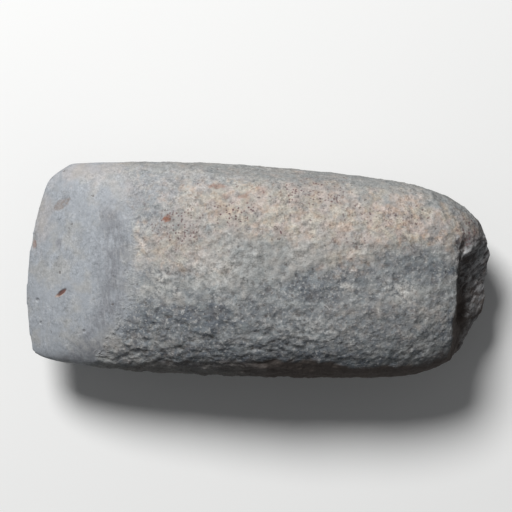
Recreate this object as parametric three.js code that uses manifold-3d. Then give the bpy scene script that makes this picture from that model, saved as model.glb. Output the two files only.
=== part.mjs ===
// A polished stone axe head: one stone, pecked to shape, with its cutting end ground smooth.
// Millimetres. The stone lies on a broad face: +Z is up, and +X runs from the cutting edge to the butt.
// It is shaped about the cutting edge's own line, then set down with its small flat on Z = 0.
import * as THREE from 'three';
import { LoftGeometry } from 'three/addons/geometries/LoftGeometry.js';
import { mergeVertices } from 'three/addons/utils/BufferGeometryUtils.js';
import Module from 'manifold-3d';

// ---- Driving sizes ----
const LENGTH = 135.3;             // cutting edge to the butt as it was before it was battered
const HALF_THICKNESS = 21.4;      // middle plane to either broad face, at the belly
const SECTIONS = 46;              // sections along the length, closer together at both ends
const SECTION_POINTS = 64;        // points around each section

// Each long side is an arc of a large circle: how far out it reaches, and where along the length.
const LEFT_SIDE = { reach: 31.4, widestAt: 32, arcRadius: 515 };
const RIGHT_SIDE = { reach: 31.6, widestAt: 92, arcRadius: 950 };

// Each side is drawn in at the blade's corner, by a share of its width and over a length. A higher
// sharpness keeps the drop closer to the corner.
const LEFT_CORNER = { drop: 0.205, length: 9.4, sharpness: 0.85 };
const RIGHT_CORNER = { drop: 0.14, length: 34, sharpness: 2 };

// At the butt it turns in as a quarter of a superellipse.
const BUTT_ROUNDING_START = 100;
const LEFT_BUTT_SQUARENESS = 3.1;
const RIGHT_BUTT_SQUARENESS = 2.7;

// The two broad faces, in profile: a full, blunt bevel from the edge to the belly, then the butt's dome.
const BEVEL_LENGTH = 68;
const BEVEL_SQUARENESS = 1.45;
const DOME_START = 78;
const DOME_SQUARENESS = 2.35;

// The cutting edge bows forward, and most a little to the right of the middle.
const EDGE_BOW = 3.4;
const BOW_CENTRE = -0.3;          // in half widths from the middle
const BOW_LENGTH = 45;            // how far back the bow reaches

// A section's squareness: 2 is an ellipse. The blade is flatter, the butt rounder.
const BLADE_SQUARENESS = 3.5;
const BODY_SQUARENESS = 2.45;
const BLADE_LENGTH = 42;

// The ground facet along the left narrow side, and the small flat the stone rests on.
const SIDE_FACET = { x: 76, y: 27.6, z: 8.3, tilt: 22, turn: -3.2 };
const REST_FLAT_DEPTH = 0.8;

// Flakes struck off the butt: where each scar is deepest, the way it faces, its radius and its depth.
const BUTT_SCARS = [
  { x: 129.6, y: -4.5, z: 6.5, facing: [0.87, -0.16, 0.47], radius: 27, depth: 2.2 },
  { x: 129, y: -12.5, z: 6, facing: [0.86, -0.21, 0.47], radius: 28, depth: 2.1 },
  { x: 127.5, y: -18, z: 2, facing: [0.83, -0.42, 0.3], radius: 30, depth: 0.75 },
  { x: 126.8, y: -9, z: 9.3, facing: [0.93, -0.1, 0.36], radius: 8, depth: 1.0 },
];
const SCAR_DETAIL = 12;           // how finely the ball behind each scar is divided

const degrees = THREE.MathUtils.degToRad;

// ---- The stone's outline and profile ----

// A quarter of a superellipse: 1 until `start`, then down to 0 at `end`.
function roundedEnd(x, start, end, squareness) {
  const share = THREE.MathUtils.clamp((x - start) / (end - start), 0, 1);
  return (1 - share ** squareness) ** (1 / squareness);
}

function halfWidth(x, side, corner, buttSquareness) {
  const arc = side.reach - (x - side.widestAt) ** 2 / (2 * side.arcRadius);
  const nearCorner = Math.max(0, 1 - Math.sqrt(x / corner.length));
  const drawnIn = 1 - corner.drop * nearCorner ** corner.sharpness;
  return arc * drawnIn * roundedEnd(x, BUTT_ROUNDING_START, LENGTH, buttSquareness);
}

function halfThickness(x) {
  const bevel = roundedEnd(BEVEL_LENGTH - x, 0, BEVEL_LENGTH, BEVEL_SQUARENESS);
  const dome = roundedEnd(x, DOME_START, LENGTH, DOME_SQUARENESS);
  return HALF_THICKNESS * bevel * dome;
}

function squarenessAt(x) {
  const share = THREE.MathUtils.smoothstep(x, 0, BLADE_LENGTH);
  return THREE.MathUtils.lerp(BLADE_SQUARENESS, BODY_SQUARENESS, share);
}

// One section at `x`: a superellipse whose two sides have their own half widths.
function section(x) {
  const left = halfWidth(x, LEFT_SIDE, LEFT_CORNER, LEFT_BUTT_SQUARENESS);
  const right = halfWidth(x, RIGHT_SIDE, RIGHT_CORNER, RIGHT_BUTT_SQUARENESS);
  const thickness = halfThickness(x);
  const bow = EDGE_BOW * Math.max(0, 1 - x / BOW_LENGTH) ** 2;
  const power = 2 / squarenessAt(x);
  const points = [];
  for (let i = 0; i < SECTION_POINTS; i++) {
    const angle = (i / SECTION_POINTS) * 2 * Math.PI;
    const across = Math.sign(Math.cos(angle)) * Math.abs(Math.cos(angle)) ** power;
    const up = Math.sign(Math.sin(angle)) * Math.abs(Math.sin(angle)) ** power;
    const y = across * (across > 0 ? left : right);
    points.push(new THREE.Vector3(x + bow * (across - BOW_CENTRE) ** 2, y, up * thickness));
  }
  return points;
}

// The first and last sections close to a line and a point, so the loft needs no caps.
function stoneGeometry() {
  const sections = [];
  for (let i = 0; i <= SECTIONS; i++) {
    const share = (1 - Math.cos((i / SECTIONS) * Math.PI)) / 2;
    sections.push(section(LENGTH * share));
  }
  return new LoftGeometry(sections);
}

// ---- Cuts ----
const wasm = await Module();
wasm.setup();

// The closed solid inside a geometry's surface.
function solidOf(geometry) {
  const surface = new THREE.BufferGeometry();
  surface.setAttribute('position', geometry.attributes.position);
  surface.setIndex(geometry.index);
  const merged = mergeVertices(surface, 1e-4);
  const mesh = new wasm.Mesh({
    numProp: 3,
    vertProperties: merged.attributes.position.array,
    triVerts: new Uint32Array(merged.index.array),
  });
  return new wasm.Manifold(mesh);
}

function geometryOf(solid) {
  const mesh = solid.getMesh();
  const geometry = new THREE.BufferGeometry();
  geometry.setAttribute('position', new THREE.BufferAttribute(mesh.vertProperties, 3));
  geometry.setIndex(new THREE.BufferAttribute(mesh.triVerts, 1));
  return geometry;
}

// The hollow that a blow leaves: a ball whose surface passes `depth` under the scar's face.
function scarBall({ x, y, z, facing, radius, depth }) {
  const out = new THREE.Vector3(...facing).normalize();
  const centre = new THREE.Vector3(x, y, z).addScaledVector(out, radius - depth);
  return new THREE.IcosahedronGeometry(radius, SCAR_DETAIL).translate(centre.x, centre.y, centre.z);
}

// A block with its flat inner face through (x, y, z), tilted from upright and turned along the side.
function facetBlock({ x, y, z, tilt, turn }) {
  const size = LENGTH;
  return new THREE.BoxGeometry(size, size, size)
    .translate(0, size / 2, 0)
    .rotateX(degrees(tilt))
    .rotateZ(degrees(turn))
    .translate(x, y, z);
}

// A block whose top is where the stone's underside is ground to a flat.
function restBlock() {
  const top = REST_FLAT_DEPTH - HALF_THICKNESS;
  return new THREE.BoxGeometry(2 * LENGTH, LENGTH, LENGTH).translate(0, 0, top - LENGTH / 2);
}

function axeHeadGeometry() {
  const cuts = [facetBlock(SIDE_FACET), ...BUTT_SCARS.map(scarBall), restBlock()];
  let stone = solidOf(stoneGeometry());
  for (const cut of cuts) {
    stone = stone.subtract(solidOf(cut));
  }
  const geometry = geometryOf(stone);
  geometry.computeBoundingBox();
  const { min, max } = geometry.boundingBox;
  return geometry.translate(-(min.x + max.x) / 2, -(min.y + max.y) / 2, -min.z);
}

// ---- The part ----
const stoneFinish = new THREE.MeshStandardMaterial({ color: 0x8f9290, roughness: 0.78, metalness: 0 });

const axeHead = new THREE.Mesh(axeHeadGeometry(), stoneFinish);
axeHead.name = 'axe_head';

const axe = new THREE.Group();
axe.add(axeHead);

export default axe;
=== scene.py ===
# A polished stone axe head lying on a pale table, in the part's own frame: the cutting edge is at -X,
# the butt at +X, its left side at +Y, and the upper broad face looks up along +Z. The scene's sizes are in
# metres. Places and sizes on the stone are in millimetres.
import math

import bpy
import numpy as np
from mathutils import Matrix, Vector, noise


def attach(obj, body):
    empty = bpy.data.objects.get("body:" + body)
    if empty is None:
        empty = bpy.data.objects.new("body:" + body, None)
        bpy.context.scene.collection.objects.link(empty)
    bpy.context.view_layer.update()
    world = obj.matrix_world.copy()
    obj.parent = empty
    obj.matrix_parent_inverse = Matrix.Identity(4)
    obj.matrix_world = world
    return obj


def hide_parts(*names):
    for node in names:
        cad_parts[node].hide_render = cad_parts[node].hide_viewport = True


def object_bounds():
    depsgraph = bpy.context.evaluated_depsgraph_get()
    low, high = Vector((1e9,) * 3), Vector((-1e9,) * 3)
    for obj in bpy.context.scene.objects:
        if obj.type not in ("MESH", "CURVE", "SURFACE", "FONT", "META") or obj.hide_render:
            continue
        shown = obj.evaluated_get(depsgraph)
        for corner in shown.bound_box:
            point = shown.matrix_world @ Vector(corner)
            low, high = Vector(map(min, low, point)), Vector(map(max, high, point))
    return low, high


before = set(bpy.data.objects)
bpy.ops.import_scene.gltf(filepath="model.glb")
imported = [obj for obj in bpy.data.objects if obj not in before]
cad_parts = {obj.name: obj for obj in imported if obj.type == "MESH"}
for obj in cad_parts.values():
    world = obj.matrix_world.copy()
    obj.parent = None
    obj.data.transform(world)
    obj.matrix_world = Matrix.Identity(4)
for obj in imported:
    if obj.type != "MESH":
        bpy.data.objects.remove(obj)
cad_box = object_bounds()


# ---- Camera ----
# It looks straight down on the upper face, with the cutting edge to the left. The stone lies a little
# below the middle of the view.
MM = 0.001
low, high = cad_box
middle = (low + high) / 2
SEEN_WIDTH = 1.108 * (high.x - low.x)
CAMERA_ASIDE = (-0.4 * MM, 4 * MM)
CAMERA_HEIGHT = 0.6            # above the stone's middle

bpy.ops.object.select_all(action="DESELECT")
bpy.ops.object.camera_add(location=(*CAMERA_ASIDE, middle.z + CAMERA_HEIGHT), rotation=(0, 0, 0))
camera = bpy.context.active_object
camera.name = "camera"
camera.data.lens = camera.data.sensor_width * CAMERA_HEIGHT / SEEN_WIDTH
bpy.context.scene.camera = camera
bpy.context.scene.view_settings.view_transform = "Standard"


# ---- Table and light ----
# A plain pale table in matt paint. One soft round lamp stands behind the stone and to its left, and a
# weak even fill comes from all round.
TABLE_SIZE = 4
TABLE_PALE = (0.88, 0.88, 0.87, 1)
TABLE_ROUGHNESS = 0.9
LAMP_FROM = Vector((-0.36, 0.68, 0.92))
LAMP_DISTANCE = 1.2
LAMP_WIDTH = 0.45
LAMP_POWER = 16
FILL = (0.125, 0.127, 0.13, 1)

bpy.ops.mesh.primitive_plane_add(size=TABLE_SIZE, location=(0, 0, 0))
table = bpy.context.active_object
table.name = "table"
table_paint = bpy.data.materials.new("table_paint")
table_paint.use_nodes = True
table_shader = table_paint.node_tree.nodes["Principled BSDF"]
table_shader.inputs["Base Color"].default_value = TABLE_PALE
table_shader.inputs["Roughness"].default_value = TABLE_ROUGHNESS
table.data.materials.append(table_paint)
table.visible_diffuse = False  # it throws no light back on the stone, so the lower sides stay dark

bpy.ops.object.light_add(type="AREA", location=LAMP_FROM.normalized() * LAMP_DISTANCE)
lamp = bpy.context.active_object
lamp.name = "soft_lamp"
lamp.rotation_euler = LAMP_FROM.to_track_quat("Z", "Y").to_euler()
lamp.data.shape = "DISK"
lamp.data.size = LAMP_WIDTH
lamp.data.energy = LAMP_POWER

world = bpy.data.worlds.new("even_fill")
world.use_nodes = True
world.node_tree.nodes["Background"].inputs["Color"].default_value = FILL
bpy.context.scene.world = world


# ---- The axe head ----
# One piece of fine greenstone. It is pecked to shape with a hammerstone all over, and its cutting end
# and one narrow side are then ground smooth. The butt is flaked from use.
SAME_POINT = 0.001 * MM
COARSE_FACE = 0.9 * MM         # size of the surface's faces below
FINE_ABOVE = 17                # height above which the faces are half that size
EVENING_ROUNDS = 4             # smoothing and swelling again, so that the stone keeps its size
EVENING_PASSES = 2
SMOOTHING = 0.6
SWELLING = -0.62

stone = bpy.data.objects.new("greenstone_axe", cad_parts["axe_head"].data.copy())
bpy.context.scene.collection.objects.link(stone)


def take_up(thing):
    """Makes the thing the only selected object, and the active one."""
    bpy.ops.object.select_all(action="DESELECT")
    thing.select_set(True)
    bpy.context.view_layer.objects.active = thing


def finish_modifier(kind, **settings):
    """Adds one modifier to the active object, sets it and applies it."""
    bpy.ops.object.modifier_add(type=kind)
    modifier = bpy.context.object.modifiers[-1]
    for name, value in settings.items():
        setattr(modifier, name, value)
    bpy.ops.object.modifier_apply(modifier=modifier.name)


def split_faces(wanted):
    """Divides each face of the stone whose centre is wanted."""
    bpy.ops.object.mode_set(mode="EDIT")
    bpy.ops.mesh.select_all(action="DESELECT")
    bpy.ops.object.mode_set(mode="OBJECT")
    for face in stone.data.polygons:
        face.select = wanted(face.center / MM)
    bpy.ops.object.mode_set(mode="EDIT")
    bpy.ops.mesh.subdivide(number_cuts=1, smoothness=0)
    bpy.ops.object.mode_set(mode="OBJECT")


take_up(stone)
bpy.ops.object.mode_set(mode="EDIT")
bpy.ops.mesh.select_all(action="SELECT")
bpy.ops.mesh.remove_doubles(threshold=SAME_POINT)
bpy.ops.object.mode_set(mode="OBJECT")
finish_modifier("REMESH", mode="VOXEL", voxel_size=COARSE_FACE)
split_faces(lambda centre: centre.z > FINE_ABOVE)
for _ in range(EVENING_ROUNDS):
    finish_modifier("SMOOTH", factor=SMOOTHING, iterations=EVENING_PASSES)
    finish_modifier("SMOOTH", factor=SWELLING, iterations=EVENING_PASSES)

# Small marks on the blade, which need a finer surface than the rest. A size is half the mark's length
# and half its width, and a turn is in degrees.
BLADE_MARKS = {
    "oval_chip": {"at": (-56.7, 19.1), "size": (2.7, 1.4), "turn": 38, "depth": 0.15},
    "nick": {"at": (-56.6, -6.5), "size": (1.7, 0.55), "turn": 38, "depth": 0.35},
    "grey_dent": {"at": (-57.7, 7.7), "size": (0.9, 1.3), "turn": 0, "depth": 0.08},
    "edge_chip": {"at": (-65.5, 7.5), "size": (0.8, 1.5), "turn": 10, "depth": 0.4},
    "edge_chip_2": {"at": (-65.4, 9.6), "size": (0.8, 0.9), "turn": 0, "depth": 0.3},
    "pit_1": {"at": (-64.0, -8.8), "size": (0.5, 0.45), "turn": 0, "depth": 0.4},
    "pit_2": {"at": (-63.1, -15.4), "size": (0.4, 0.45), "turn": 0, "depth": 0.35},
    "pit_3": {"at": (-50.0, -17.6), "size": (0.4, 0.4), "turn": 0, "depth": 0.3},
}
MARK_MARGIN = 1.2


def near_mark(centre):
    """Whether a point lies on or beside one of the blade's marks."""
    for mark in BLADE_MARKS.values():
        away = math.hypot(centre.x - mark["at"][0], centre.y - mark["at"][1])
        if centre.z > FINE_ABOVE and away < max(mark["size"]) + MARK_MARGIN:
            return True
    return False


split_faces(near_mark)


def points(thing):
    """Where every point of the thing's surface is, in millimetres."""
    return np.array([vertex.co for vertex in thing.data.vertices]) / MM


HALVES_BLEND = 4               # height over which the upper face's finish gives way to the underside's

places = points(stone)
facing = np.array([vertex.normal for vertex in stone.data.vertices])
facing_up = facing[:, 2]
x, y, z = places.T
upper = np.clip((z - middle.z / MM + HALVES_BLEND / 2) / HALVES_BLEND, 0, 1)


def share(value, start, end):
    """0 at start, 1 at end, and a smooth step between them."""
    part = np.clip((value - start) / (end - start), 0, 1)
    return part * part * (3 - 2 * part)


def between(value, rise, fall):
    """1 between the rise and the fall, 0 outside them, and a smooth step over each."""
    return share(value, *rise) * (1 - share(value, *fall))


def lumps(size, seed, octaves=3):
    """Soft noise from about -1 to 1 over the surface, with lumps of that size."""
    shift = Vector((seed, 2.3 * seed, 4.1 * seed))
    weakening, refining = 0.8, 2
    return np.array([
        noise.fractal(Vector(place) / size + shift, weakening, refining, octaves)
        for place in places
    ])


ragged = lumps(size=3.5, seed=11)
ragged_fine = lumps(size=1.1, seed=13, octaves=2)


def oval(at, size, turn=0, soft=0.35, rag=0.35, fine_rag=0):
    """1 inside an oval spot of the upper face, and 0 outside its soft and ragged rim."""
    angle = math.radians(turn)
    along = (x - at[0]) * math.cos(angle) + (y - at[1]) * math.sin(angle)
    across = (y - at[1]) * math.cos(angle) - (x - at[0]) * math.sin(angle)
    reach = np.hypot(along / size[0], across / size[1]) + rag * ragged + fine_rag * ragged_fine
    return upper * (1 - share(reach, 1 - soft, 1 + soft))


# The ground blade ends along a curved line, and the pecking grows behind it. The rest flat stays clear.
# A pair of numbers says where a change begins and where it is complete.
BLADE_END = -37                # on the middle line
LEFT_BEND = 0.001              # towards the edge, by the square of the distance from the middle line
RIGHT_BEND = 0.017
LEFT_CORNER = (24, 30)
LEFT_CORNER_PULL = 2
BLADE_END_WAVES = 1.5
PECKING_GROWS = (-5, 10)       # behind the blade's end
REST_CLEARANCE = (0.1, 1.5)

bend = np.where(y > 0, LEFT_BEND, RIGHT_BEND)
corner_pull = LEFT_CORNER_PULL * share(y, *LEFT_CORNER)
blade_end = BLADE_END - bend * y * y - corner_pull + BLADE_END_WAVES * lumps(size=7, seed=3)
back = x - blade_end
pecked = share(back, *PECKING_GROWS)
rest_clear = share(z, *REST_CLEARANCE)

# The left narrow side is ground to a facet, whose rim draws in towards the butt.
FACET_RIM = (24.3, 25.3)       # across, at the middle of the facet's length
FACET_MIDDLE = 7
FACET_DRAW = 0.05
FACET_ABOVE = (20, 24)
FACET_STARTS = (-26, -18)
FACET_ENDS = (36, 44)

facet_across = y + FACET_DRAW * (x - FACET_MIDDLE)
facet_length = between(x, FACET_STARTS, FACET_ENDS)
side_ground = share(facet_across, *FACET_RIM) * share(z, *FACET_ABOVE) * facet_length

# The stone's own cleavage shows on the right side, less on the underside and towards the butt.
CLEAVAGE_EDGE = -8             # across, at the middle of the length
CLEAVAGE_SLANT = 0.05
CLEAVAGE_WAVES = 4
CLEAVAGE_FADES = (-8, 4)       # about that edge
CLEAVAGE_BELOW = 0.35
BUTT_HALF = (5, 35)
CLEAVAGE_LOST = 0.6            # on the butt half
CLEAVAGE_GROWS = (-2, 6)       # behind the blade's end

low_edge = CLEAVAGE_EDGE + CLEAVAGE_SLANT * x + CLEAVAGE_WAVES * lumps(size=12, seed=7)
rugged = 1 - share(y, low_edge + CLEAVAGE_FADES[0], low_edge + CLEAVAGE_FADES[1])
rugged *= CLEAVAGE_BELOW + (1 - CLEAVAGE_BELOW) * upper
rugged *= 1 - CLEAVAGE_LOST * share(x, *BUTT_HALF)

# The butt's scar is rough, within a bowed and ragged rim.
SCAR_RIM = (57, 57.7)
SCAR_MIDDLE = -6
SCAR_RIM_BOW = 0.05
SCAR_RIM_RAG = 0.5
SCAR_ABOVE = (12, 16)
SCAR_LEFT_END = (8, 11)

scar_along = x + SCAR_RIM_BOW * np.abs(y - SCAR_MIDDLE) + SCAR_RIM_RAG * ragged
scar = share(scar_along, *SCAR_RIM) * share(z, *SCAR_ABOVE) * (1 - share(y, *SCAR_LEFT_END))


def weigh(name, weights):
    """Makes a vertex group with these weights."""
    least = 0.001
    group = stone.vertex_groups.new(name=name)
    for index in np.nonzero(weights > least)[0]:
        group.add([int(index)], float(weights[index]), "REPLACE")


# The pecking is shallower on the right, on steep sides and on the ground facet.
RIGHT_PECKING = 0.7
LEFT_GAIN = 0.3
PECKING_DEEPENS = (-14, 6)     # from right to left
STEEP_PECKING = 0.6
FLAT_GAIN = 0.4
FACET_LOSS = 0.6

peck_depth = RIGHT_PECKING + LEFT_GAIN * share(y, *PECKING_DEEPENS) * upper
peck_depth *= STEEP_PECKING + FLAT_GAIN * np.abs(facing_up)
weigh("pecked", pecked * peck_depth * rest_clear * (1 - FACET_LOSS * side_ground))
weigh("rugged", rugged * rest_clear * share(back, *CLEAVAGE_GROWS))
weigh("scar", scar)


def relief(group, kind, size, depth, mid_level, stretch=(1, 1, 1), turn=0, **settings):
    """Raises and lowers the surface by a noise of that size and depth, where the group says."""
    texture = bpy.data.textures.new(f"{group}_{kind}_{size}".lower(), kind)
    for name, value in settings.items():
        setattr(texture, name, value)
    texture.noise_scale = 1
    bpy.ops.object.empty_add(location=(0, 0, 0), rotation=(0, 0, math.radians(turn)))
    grain = bpy.context.active_object
    grain.scale = [size * s * MM for s in stretch]
    bpy.context.view_layer.update()
    take_up(stone)
    finish_modifier(
        "DISPLACE",
        texture=texture,
        strength=depth * MM,
        mid_level=mid_level,
        vertex_group=group,
        texture_coords="OBJECT",
        texture_coords_object=grain,
    )
    bpy.data.objects.remove(grain)


# Pecking, from its broad swells to its crumbs. The third is the pits that the hammerstone left.
relief("pecked", "CLOUDS", size=13, depth=0.8, mid_level=0.45)
relief("pecked", "CLOUDS", size=5, depth=0.7, mid_level=0.47, noise_depth=1)
relief("pecked", "VORONOI", size=2.5, depth=0.7, mid_level=0.2, distance_metric="DISTANCE_SQUARED")
relief("pecked", "CLOUDS", size=1.3, depth=0.36, mid_level=0.35, noise_depth=2, noise_type="HARD_NOISE")

# Ledges and plates along the cleavage, then the scar's broken floor.
LEDGES = {"stretch": (1.6, 1, 1), "turn": -4, "noise_depth": 2, "noise_type": "HARD_NOISE"}
PLATES = {"stretch": (1.5, 1, 1), "weight_1": -1, "weight_2": 1}
SPLINTERS = {"stretch": (0.75, 1.7, 1), "turn": -50, "noise_depth": 2, "noise_type": "HARD_NOISE"}
relief("rugged", "CLOUDS", size=3.4, depth=0.95, mid_level=0.37, **LEDGES)
relief("rugged", "VORONOI", size=3.8, depth=0.4, mid_level=0.25, **PLATES)
relief("scar", "CLOUDS", size=4.6, depth=1.3, mid_level=0.37, **SPLINTERS)
heights = ((points(stone) - places) * facing).sum(axis=1)

# Grinding takes the tops off the pecking beside the blade and along the side, and leaves the pits. The
# ground blade itself waves a little, except at its edge.
BLADE_TOPS = 0.05
BODY_TOPS_GAIN = 0.95
GRINDING_FADES = (-5, 12)      # about the blade's end
FACET_TOPS_LOSS = 0.2
BLADE_WAVES = 0.1
EDGE_ZONE = (-66, -56)

tops = BLADE_TOPS + BODY_TOPS_GAIN * share(back, *GRINDING_FADES) - FACET_TOPS_LOSS * side_ground
heights = np.minimum(heights, tops)
heights += BLADE_WAVES * lumps(size=11, seed=31, octaves=2) * (1 - pecked) * share(x, *EDGE_ZONE)

# A long worn hollow in the upper face, and the trench and the pit where flakes broke from the butt.
HOLLOWS = [
    {"at": (22, -4), "size": (22, 8), "turn": 8, "depth": 0.5, "soft": 0.7, "rag": 0.35},
    {"at": (59.5, -5), "size": (1.8, 12.5), "turn": 0, "depth": 1.4, "soft": 0.4, "rag": 0.2},
    {"at": (61, -12.5), "size": (1.6, 5), "turn": -20, "depth": 1.0, "soft": 0.3, "rag": 0.6},
]
for dip in HOLLOWS:
    heights -= dip["depth"] * oval(dip["at"], dip["size"], dip["turn"], dip["soft"], dip["rag"])
for mark in BLADE_MARKS.values():
    heights -= mark["depth"] * oval(mark["at"], mark["size"], mark["turn"], soft=0.3, rag=0.15)

for vertex, place, way, height in zip(stone.data.vertices, places, facing, heights):
    vertex.co = Vector(place + way * height) * MM
    vertex.co.z = max(vertex.co.z, 0)
bpy.ops.object.shade_smooth()

# How deep each point lies under the stone's evened surface. The colours paint shade and dirt into the
# hollows, and a highlight and wear onto the tips.
EVENED_PASSES = 14

evened = stone.copy()
evened.data = stone.data.copy()
bpy.context.scene.collection.objects.link(evened)
take_up(evened)
finish_modifier("SMOOTH", factor=0.5, iterations=EVENED_PASSES)
hollow = ((points(evened) - points(stone)) * facing).sum(axis=1)
bpy.data.objects.remove(evened)
stone.vertex_groups.clear()


def paint(name, values):
    """Keeps one number for each point of the surface, for the stone's colours to read."""
    layer = stone.data.attributes.new(name, "FLOAT", "POINT")
    layer.data.foreach_set("value", values.astype(np.float32))


# The body's colour comes in at the blade's end. A dark band lies before it, and fades at both sides.
ROUGH_GROWS = (-4, 7)          # about the blade's end
BAND_STARTS = (-11, -5)
BAND_ENDS = (-2.5, 3)
BAND_FADES_LEFT = (12, 26)
BAND_FADES_RIGHT = (25, 31)

band_length = (1 - share(y, *BAND_FADES_LEFT)) * (1 - share(-y, *BAND_FADES_RIGHT))
paint("rough", share(back, *ROUGH_GROWS))
paint("hollow", hollow)
paint("band", between(back, BAND_STARTS, BAND_ENDS) * band_length)

# The spots of each colour on the upper face, with how much of it each has at most.
OCHRE_SPOTS = [
    {"at": (9.2, 16.8), "size": (42, 8), "turn": -6, "much": 0.7},
    {"at": (40.3, 13.5), "size": (19, 7), "turn": -10, "much": 0.9},
    {"at": (-33.3, 7.4), "size": (2, 8), "turn": 0, "much": 0.6},
    {"at": (40.3, -13.7), "size": (22, 8), "turn": -4, "much": 0.15},
    {"at": (-23.2, 6.4), "size": (9, 8), "turn": 0, "much": 0.5},
    {"at": (-32.9, -23.1), "size": (16, 3.5), "turn": -3, "much": 0.15},
    {"at": (26.1, 2.5), "size": (7, 4), "turn": 10, "much": 0.6},
    {"at": (-12.6, 4), "size": (6, 6), "turn": 0, "much": 0.3},
    {"at": (55.1, 11.7), "size": (7, 4), "turn": -30, "much": 0.8},
    {"at": (-50.3, 28.7), "size": (12, 2.5), "turn": 2, "much": 0.6},
    {"at": (-62.4, 14.6), "size": (2.5, 8), "turn": -12, "much": 0.5},
]
# Slate-grey patches, and over the lower side, which turns away from the lamp, painted shade.
SLATE_AND_SHADE_SPOTS = [
    {"at": (17.1, -5), "size": (14, 5.5), "turn": 8, "much": 0.9},
    {"at": (40.3, 2.1), "size": (13, 5), "turn": 18, "much": 0.7},
    {"at": (32.4, -1.6), "size": (12, 5), "turn": 10, "much": 0.7},
    {"at": (-22, -14.9), "size": (18, 6), "turn": 5, "much": 1},
    {"at": (-12, -12.4), "size": (6, 3), "turn": 10, "much": 0.6},
    {"at": (-27.6, -1.6), "size": (9, 3.5), "turn": 0, "much": 0.5},
    {"at": (-35.8, -6.6), "size": (3, 12), "turn": 0, "much": 0.4},
    {"at": (-31.9, 16.9), "size": (4.5, 3.5), "turn": 0, "much": 0.5},
    {"at": (6.4, 27.5), "size": (24, 3.2), "turn": -3, "much": 0.1},
    {"at": (9.7, -17.3), "size": (58, 11), "turn": -1, "much": 0.75},
    {"at": (4.8, -25), "size": (48, 4), "turn": -1, "much": 1},
    {"at": (-34, -16), "size": (6.5, 10), "turn": 0, "much": 1},
    {"at": (13.3, -21.7), "size": (10, 3), "turn": 0, "much": 0.9},
    {"at": (-16.4, -21.7), "size": (8, 3), "turn": 0, "much": 0.9},
    {"at": (-12.4, -12), "size": (6, 4), "turn": 10, "much": 1},
    {"at": (29.3, -8), "size": (8, 3), "turn": 0, "much": 0.7},
    {"at": (47, 0), "size": (8, 5), "turn": 10, "much": 0.8},
    {"at": (-31, 22), "size": (6, 6), "turn": 0, "much": 0.1},
]
RUST_SPOTS = [
    {"at": (-25.9, 14.5), "size": (1.3, 0.9), "turn": 20, "much": 1},
    {"at": (-11.2, 23.9), "size": (2.1, 0.7), "turn": 5, "much": 0.55},
    {"at": (-9.2, 21), "size": (0.9, 0.7), "turn": 0, "much": 0.4},
    {"at": (-3.9, 21.1), "size": (1.6, 0.7), "turn": 0, "much": 0.5},
    {"at": (1.2, 22.6), "size": (1.8, 1.2), "turn": 0, "much": 0.25},
    {"at": (-65.3, 7.5), "size": (0.8, 1.2), "turn": 0, "much": 0.6},
]
PURPLE_SPOTS = [
    {"at": (-22.2, 13), "size": (8, 7), "turn": 0, "much": 0.8},
    {"at": (-7.4, 16.2), "size": (6, 4), "turn": 0, "much": 1},
    {"at": (6.4, 10.9), "size": (2.2, 1.8), "turn": 0, "much": 1},
    {"at": (16.4, 21.4), "size": (10, 5), "turn": 0, "much": 0.8},
    {"at": (29, 16.6), "size": (8, 5), "turn": 0, "much": 0.6},
    {"at": (39.7, 13.2), "size": (8, 4), "turn": 0, "much": 0.6},
    {"at": (26.1, 8.4), "size": (6, 4), "turn": 0, "much": 0.5},
    {"at": (60.9, 10.8), "size": (4, 4), "turn": 0, "much": 1},
]
# Near-black painted shade in the butt's scar: along its trench, in its pits and round its corners.
SCAR_SHADE_SPOTS = [
    {"at": (58.8, -3), "size": (1.8, 10), "turn": 0, "much": 1},
    {"at": (60.5, 7.5), "size": (5, 2.6), "turn": 20, "much": 0.75},
    {"at": (60, -12.5), "size": (2.4, 6), "turn": -12, "much": 1},
    {"at": (62.4, -4), "size": (0.8, 4.5), "turn": -35, "much": 0.8},
    {"at": (61.5, 3), "size": (2.2, 1.2), "turn": 40, "much": 0.8},
    {"at": (63.8, 10), "size": (2.5, 4.5), "turn": 0, "much": 0.45},
    {"at": (58.3, -21.5), "size": (4, 3), "turn": 50, "much": 0.5},
]
COOL_SPOTS = [
    {"at": (-31, 21), "size": (9, 9), "turn": 0, "much": 0.75},
    {"at": (-35, -4), "size": (3, 10), "turn": 0, "much": 0.6},
    {"at": (-18, 26), "size": (12, 3), "turn": 0, "much": 0.5},
]
PALE_SPOTS = [
    {"at": (-27.1, -3), "size": (4, 4), "turn": 0, "much": 0.6},
    {"at": (-12, 0.7), "size": (4, 6), "turn": 0, "much": 0.5},
    {"at": (-33.9, 9.8), "size": (2, 6), "turn": 0, "much": 0.4},
    {"at": (41.8, -6.6), "size": (3.2, 3), "turn": 0, "much": 0.8},
    {"at": (24.8, -5), "size": (2, 1.6), "turn": 0, "much": 1},
    {"at": (25.6, 18.8), "size": (5, 4), "turn": 0, "much": 0.4},
    {"at": (-18.6, 20.4), "size": (6, 4), "turn": 0, "much": 0.4},
    {"at": (14.9, -17.2), "size": (8, 4), "turn": 0, "much": 0.4},
]


def spots(listed, **rim):
    """The strongest of the listed spots at each point."""
    found = np.zeros(len(places))
    for spot in listed:
        found = np.maximum(found, spot["much"] * oval(spot["at"], spot["size"], spot["turn"], **rim))
    return found


# The underside is blotched in ochre and slate, and the butt darkens.
BLOTCH_RIM = (0, 0.5)
UNDER_OCHRE = 0.6
UNDER_SLATE = 0.7
BUTT_SLATE = 0.3
BUTT_DARKENS = (46, 58)

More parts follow.
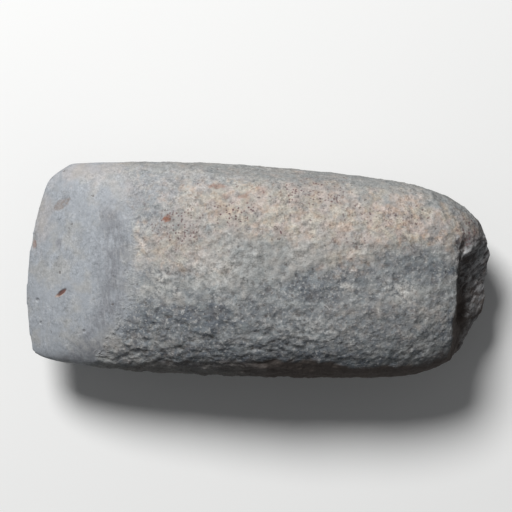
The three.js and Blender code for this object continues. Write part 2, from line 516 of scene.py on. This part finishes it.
blotches = lumps(size=9, seed=21)
under = (1 - upper) * pecked
under_ochre = UNDER_OCHRE * under * share(blotches, *BLOTCH_RIM)
under_slate = UNDER_SLATE * under * share(-blotches, *BLOTCH_RIM)
butt_slate = BUTT_SLATE * share(x, *BUTT_DARKENS) * upper
paint("ochre", spots(OCHRE_SPOTS, soft=0.5, rag=0.6) + under_ochre)
paint("slate_and_shade", spots(SLATE_AND_SHADE_SPOTS, soft=0.5, rag=0.6) + butt_slate + under_slate)
paint("purple", spots(PURPLE_SPOTS, soft=0.5, rag=0.5))
paint("cool", spots(COOL_SPOTS, soft=0.6, rag=0.6))
paint("scar_shade", spots(SCAR_SHADE_SPOTS, soft=0.35, rag=0.5))
paint("rust", spots(RUST_SPOTS, soft=0.3, rag=0, fine_rag=0.5))
paint("pale", spots(PALE_SPOTS, soft=0.8, rag=0.3))

# Painted brown shade lies on the right side below a wavy line that sinks at both ends, and round the
# butt's right corner where the stone turns down. It is thinner beside the blade and low down.
SHADE_LINE = -25.7
SHADE_LINE_RAG = 0.8
SHADE_EDGE = (-0.9, 0.3)        # about that line
SHADE_LINE_SINKS = {"blade_end": (-25, -38, 1.9), "butt_end": (15, 30, 1.7)}
SHADE_STARTS = (-50, -34)
SHADE_THICKENS = (-20, 10)
THIN_SHADE = 0.5
CORNER_STARTS = (38, 46)
CORNER_LEFT_END = (-9, -3)
CORNER_TURNS_DOWN = (0.45, 0.8)
CORNER_RAG = 0.12
LOW_SHADE = 0.3
SHADE_HEIGHT = (13, 23)
SHADE_BLOTCHES = 1.5

shade_line = SHADE_LINE + SHADE_LINE_RAG * ragged
for start, end, drop in SHADE_LINE_SINKS.values():
    shade_line -= drop * share(x, start, end)
side_shade = 1 - share(y, shade_line + SHADE_EDGE[0], shade_line + SHADE_EDGE[1])
side_shade *= share(x, *SHADE_STARTS) * (THIN_SHADE + (1 - THIN_SHADE) * share(x, *SHADE_THICKENS))
corner_shade = share(x, *CORNER_STARTS) * (1 - share(y, *CORNER_LEFT_END))
corner_shade *= 1 - share(facing_up + CORNER_RAG * ragged, *CORNER_TURNS_DOWN)
shade_by_height = LOW_SHADE + (1 - LOW_SHADE) * share(z + SHADE_BLOTCHES * blotches, *SHADE_HEIGHT)
paint("brown_shade", np.maximum(side_shade, corner_shade) * shade_by_height)
paint("scar", scar)

# The blade's own marks, and a painted highlight beside the nick.
NICK_HIGHLIGHT_SPOT = {"at": (-57.1, -7.1), "size": (1.5, 0.45), "turn": 30}


def mark_spot(mark, **rim):
    """The oval of one of the blade's marks."""
    return oval(mark["at"], mark["size"], mark["turn"], **rim)


paint("chip", mark_spot(BLADE_MARKS["oval_chip"], soft=0.25, rag=0.1, fine_rag=0.35))
paint("dent", mark_spot(BLADE_MARKS["grey_dent"], soft=0.5, rag=0.2, fine_rag=0.4))
paint("nick_highlight", mark_spot(NICK_HIGHLIGHT_SPOT, soft=0.4, rag=0, fine_rag=0.2))
paint("nick", mark_spot(BLADE_MARKS["nick"], soft=0.35, rag=0, fine_rag=0.2))

# Its colours, as bare stone lit evenly; the ones noted below paint shade and a highlight too.
BODY_GREY = (0.315, 0.322, 0.316, 1)
BODY_WARM = (0.352, 0.345, 0.33, 1)
BLADE_GREY = (0.322, 0.343, 0.37, 1)
BLADE_WARM = (0.34, 0.345, 0.346, 1)
BAND_GREY = (0.21, 0.217, 0.235, 1)
OCHRE = (0.51, 0.43, 0.385, 1)
OCHRE_YELLOW = (0.49, 0.44, 0.365, 1)
SLATE_AND_SHADE = (0.115, 0.13, 0.15, 1)
BROWN_SHADE = (0.1, 0.08, 0.068, 1)
SCAR_GREY = (0.6, 0.6, 0.61, 1)
SCAR_DARK = (0.11, 0.1, 0.1, 1)
SCAR_SHADE = (0.05, 0.045, 0.045, 1)
PALE_GRAIN = (0.56, 0.55, 0.52, 1)
WARM_GRAIN = (0.42, 0.29, 0.2, 1)
COOL_GRAIN = (0.23, 0.265, 0.28, 1)
PIT_BROWN = (0.08, 0.065, 0.058, 1)
PURPLE = (0.14, 0.09, 0.09, 1)
RUST = (0.27, 0.13, 0.09, 1)
CHIP_BROWN = (0.215, 0.19, 0.178, 1)
DENT_GREY = (0.23, 0.235, 0.26, 1)
NICK_HIGHLIGHT = (0.46, 0.33, 0.26, 1)
NICK_BROWN = (0.15, 0.075, 0.065, 1)

greenstone = bpy.data.materials.new("greenstone")
greenstone.use_nodes = True
tree = greenstone.node_tree
shader = tree.nodes["Principled BSDF"]
object_place = tree.nodes.new("ShaderNodeTexCoord").outputs["Object"]


def add(kind, **settings):
    """A new node of the stone's finish."""
    made = tree.nodes.new(kind)
    for name, value in settings.items():
        setattr(made, name, value)
    return made


def feed(socket, value):
    """Links the socket to another, or sets it to a plain value."""
    if isinstance(value, bpy.types.NodeSocket):
        tree.links.new(value, socket)
    else:
        socket.default_value = value


def kept(name):
    """A number that paint() kept on the surface."""
    return add("ShaderNodeAttribute", attribute_name=name).outputs["Fac"]


def reckon(operation, a, b):
    """One sum of two numbers or sockets."""
    made = add("ShaderNodeMath", operation=operation)
    feed(made.inputs[0], a)
    feed(made.inputs[1], b)
    return made.outputs[0]


def plus(a, b):
    return reckon("ADD", a, b)


def less(a, b):
    return reckon("SUBTRACT", a, b)


def times(a, b):
    return reckon("MULTIPLY", a, b)


def level(value, start, end, low_end=0, high_end=1):
    """low_end up to start, high_end from end on, and a smooth step between them."""
    made = add("ShaderNodeMapRange", interpolation_type="SMOOTHSTEP")
    names = ("Value", "From Min", "From Max", "To Min", "To Max")
    for name, number in zip(names, (value, start, end, low_end, high_end)):
        feed(made.inputs[name], number)
    return made.outputs["Result"]


def placed(size, seed, stretch=(1, 1, 1), turn=0):
    """The place on the stone, in grains of that size in millimetres."""
    made = add("ShaderNodeMapping", vector_type="TEXTURE")
    feed(made.inputs["Vector"], object_place)
    feed(made.inputs["Location"], (seed, seed, seed))
    feed(made.inputs["Rotation"], (0, 0, math.radians(turn)))
    feed(made.inputs["Scale"], [size * s * MM for s in stretch])
    return made.outputs["Vector"]


def grains(size, detail=2, seed=0, stretch=(1, 1, 1), turn=0):
    """Soft noise from 0 to 1 with grains of that size in millimetres."""
    made = add("ShaderNodeTexNoise")
    feed(made.inputs["Vector"], placed(size, seed, stretch, turn))
    feed(made.inputs["Scale"], 1)
    feed(made.inputs["Detail"], detail)
    feed(made.inputs["Roughness"], 0.6)
    return made.outputs["Fac"]


def specks(spacing, radius, how_many, seed=0):
    """Small dots of that radius, both in millimetres, in that share of the places that have room."""
    crumbling = times(less(grains(0.6, detail=1), 0.5), 0.8)
    made = add("ShaderNodeTexVoronoi")
    feed(made.inputs["Vector"], placed(spacing, seed))
    feed(made.inputs["Scale"], 1)
    reach = plus(made.outputs["Distance"], crumbling)
    dot = level(reach, 0.6 * radius / spacing, 1.3 * radius / spacing, low_end=1, high_end=0)
    chosen = add("ShaderNodeSeparateColor")
    feed(chosen.inputs["Color"], made.outputs["Color"])
    return times(dot, reckon("LESS_THAN", chosen.outputs[0], how_many))


def tint(below, above, much, way="MIX"):
    """One colour laid over another, as much as it says."""
    made = add("ShaderNodeMix", data_type="RGBA", blend_type=way)
    feed(made.inputs[0], much)
    feed(made.inputs[6], below)
    feed(made.inputs[7], above)
    return made.outputs[2]


fine = grains(0.5)
small = grains(1.1, seed=0.31)
medium = grains(2.6, seed=0.17)
broad = grains(8, detail=3, seed=0.23)
border = plus(times(less(medium, 0.5), 1.2), times(less(small, 0.5), 0.8))
rough = level(plus(kept("rough"), border), 0.1, 0.9)

# The body: grey stone with its ochre, slate, cool and pale patches; the slate also paints shade over the
# lower side.
body = tint(BODY_GREY, BODY_WARM, level(less(broad, times(kept("slate_and_shade"), 0.25)), 0.4, 0.6))
ochre = tint(OCHRE, OCHRE_YELLOW, level(grains(4, seed=0.63), 0.42, 0.58))
body = tint(body, ochre, times(kept("ochre"), level(medium, 0.3, 0.6, low_end=0.5)))
body = tint(body, SLATE_AND_SHADE, times(kept("slate_and_shade"), level(medium, 0.35, 0.65, 1, 0.6)))
body = tint(body, BLADE_GREY, times(kept("cool"), level(medium, 0.35, 0.65, 1, 0.5)))
body = tint(body, PALE_GRAIN, times(kept("pale"), level(small, 0.35, 0.6, high_end=0.7)))

# The scar: light and dark grey in slanting streaks, with near-black painted shade in its deepest places
# and its pits.
streaks = level(grains(2.6, detail=3, seed=0.71, stretch=(0.6, 1.8, 1), turn=-50), 0.36, 0.66)
scar_pit_shade = times(specks(spacing=1.5, radius=0.45, how_many=0.4, seed=0.21), 0.8)
body = tint(body, tint(SCAR_DARK, SCAR_GREY, streaks), kept("scar"))
body = tint(body, SCAR_SHADE, times(kept("scar_shade"), level(medium, 0.35, 0.6, low_end=0.7)))
body = tint(body, SCAR_SHADE, times(kept("scar"), scar_pit_shade))

# Its single grains: warm, cool and pale ones, brown pits and purple specks.
warm_much = plus(times(kept("ochre"), 0.5), 0.07)
pale_much = plus(times(kept("slate_and_shade"), 0.25), 0.18)
brown_specks = times(specks(spacing=1.9, radius=0.26, how_many=0.3, seed=0.57), 0.6)
purple_specks = plus(times(specks(spacing=0.85, radius=0.3, how_many=0.45, seed=0.53), 0.9), 0.14)
ochre_specks = times(specks(spacing=1.9, radius=0.34, how_many=0.35, seed=0.33), 0.7)
body = tint(body, WARM_GRAIN, times(level(grains(2.4, seed=0.81), 0.45, 0.7), warm_much))
body = tint(body, COOL_GRAIN, level(grains(3, seed=0.91), 0.5, 0.7, high_end=0.3))
body = tint(body, PALE_GRAIN, times(level(grains(0.8, detail=1, seed=0.47), 0.56, 0.68), pale_much))
body = tint(body, PIT_BROWN, brown_specks)
body = tint(body, PURPLE, times(kept("purple"), purple_specks))
body = tint(body, PURPLE, times(plus(kept("ochre"), 0.15), ochre_specks))

# The ground blade: even blue grey, with its dark band, a few brown specks and fine scratches.
blade = tint(BLADE_GREY, BLADE_WARM, level(broad, 0.45, 0.65))
blade = tint(blade, OCHRE, times(kept("ochre"), 0.45))
streaky = plus(grains(3.5, detail=3, seed=0.43), grains(1.2, seed=0.87, stretch=(1, 5, 1), turn=8))
blade = tint(blade, BAND_GREY, times(kept("band"), level(streaky, 0.8, 1.15, 0.25, 0.9)))
blade_specks = times(specks(spacing=3.1, radius=0.2, how_many=0.4, seed=0.77), 0.6)
blade = tint(blade, PIT_BROWN, blade_specks)
scratches = grains(0.3, seed=0.11, stretch=(1, 16, 1), turn=4)
blade = tint(blade, PALE_GRAIN, level(scratches, 0.5, 0.75, high_end=0.16))

colour = tint(blade, body, rough)
colour = tint(colour, CHIP_BROWN, times(kept("chip"), level(small, 0.35, 0.65, 0.35, 0.9)))
colour = tint(colour, DENT_GREY, times(kept("dent"), 0.7))
# A painted highlight beside the nick.
colour = tint(colour, NICK_HIGHLIGHT, kept("nick_highlight"))
colour = tint(colour, NICK_BROWN, kept("nick"))
colour = tint(colour, RUST, times(kept("rust"), level(fine, 0.3, 0.55, low_end=0.6)))

# All of it is speckled lighter and darker, more in some patches and less on the blade.
SPECKLE_MEAN = 1.5
speckle = plus(fine, small)
speckle = plus(speckle, times(medium, 0.6))
speckle = plus(speckle, times(grains(5, seed=0.37), 0.4))
patchy = level(grains(6, seed=0.97), 0.35, 0.65, 0.6, 1.3)
speckle = times(times(less(speckle, SPECKLE_MEAN), patchy), level(rough, 0, 1, low_end=0.7))
colour = tint(colour, plus(speckle, 1), 1, "MULTIPLY")
# Painted shade and dirt in the hollows, and a painted highlight with wear on the tips.
colour = tint(colour, PIT_BROWN, level(kept("hollow"), 0.02, 0.2, high_end=0.7))
colour = tint(colour, PALE_GRAIN, level(kept("hollow"), -0.05, -0.22, high_end=0.2))
# Painted brown shade along the right side and round the butt's right corner.
colour = tint(colour, BROWN_SHADE, times(kept("brown_shade"), 0.92))
feed(shader.inputs["Base Color"], colour)

# The blade has a satin gloss, and the body is matt and grainy.
BLADE_ROUGHNESS = 0.55
BODY_ROUGHNESS = 0.85
SHINE = 0.35
GRAIN_HEIGHT = 0.3 * MM

feed(shader.inputs["Roughness"], level(rough, 0, 1, BLADE_ROUGHNESS, BODY_ROUGHNESS))
feed(shader.inputs["Specular IOR Level"], SHINE)
bump = add("ShaderNodeBump")
feed(bump.inputs["Height"], times(plus(times(fine, 0.35), small), level(rough, 0, 1, low_end=0.1)))
feed(bump.inputs["Distance"], GRAIN_HEIGHT)
feed(shader.inputs["Normal"], bump.outputs["Normal"])

stone.data.materials.clear()
stone.data.materials.append(greenstone)

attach(stone, "root")
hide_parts("axe_head")
